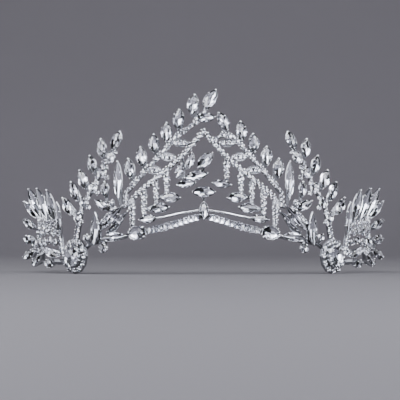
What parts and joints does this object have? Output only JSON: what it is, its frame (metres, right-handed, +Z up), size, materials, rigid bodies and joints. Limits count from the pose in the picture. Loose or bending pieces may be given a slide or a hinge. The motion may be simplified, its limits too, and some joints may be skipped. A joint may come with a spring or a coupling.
{
  "type": "rhinestone crown",
  "caption": "Open rhinestone crown: a curved soldered frame of leaf-shaped cut stones rising to a pointed peak, with side wings and a ribbon ring at each end.",
  "frame": {"origin": "on the floor, at the middle of the crown's outline", "axes": "+X to the right seen from the front, -Y out of the front, +Z up"},
  "size_m": [0.1528, 0.1172, 0.072],
  "materials": {
    "silver": "polished silver plate",
    "rhinestone": "clear cut glass over a mirror foil"
  },
  "bodies": {
    "root": {"frame": "silver", "ring_left": "silver", "ring_right": "silver", "centre_stone": "rhinestone", "centre_drop": "rhinestone", "peak_stone": "rhinestone", "apex_stone": "rhinestone", "long_left": "rhinestone", "long_right": "rhinestone", "fan_upright_left": "rhinestone", "fan_upright_right": "rhinestone", "fan_diagonal_left": "rhinestone", "fan_diagonal_right": "rhinestone", "fan_slim_left": "rhinestone", "fan_slim_right": "rhinestone", "fan_flat_left": "rhinestone", "fan_flat_right": "rhinestone", "end_stone_left": "rhinestone", "end_stone_right": "rhinestone", "side_upright_left": "rhinestone", "side_upright_right": "rhinestone", "flower_heart_left": "rhinestone", "flower_heart_right": "rhinestone", "wing_front_left": "rhinestone", "wing_front_right": "rhinestone", "wing_middle_left": "rhinestone", "wing_middle_right": "rhinestone", "wing_back_left": "rhinestone", "wing_back_right": "rhinestone", "outer_leaves_left": "rhinestone", "outer_leaves_right": "rhinestone", "apex_leaves": "rhinestone", "link_leaves_left": "rhinestone", "link_leaves_right": "rhinestone", "inner_leaves_left": "rhinestone", "inner_leaves_right": "rhinestone", "second_leaves_left": "rhinestone", "second_leaves_right": "rhinestone", "wing_leaves_left": "rhinestone", "wing_leaves_right": "rhinestone", "wing_rounds_left": "rhinestone", "wing_rounds_right": "rhinestone", "brow_rounds_left": "rhinestone", "brow_rounds_right": "rhinestone", "drop_rounds_left": "rhinestone", "drop_rounds_right": "rhinestone", "halo_rounds_left": "rhinestone", "halo_rounds_right": "rhinestone"}
  },
  "joints": []
}
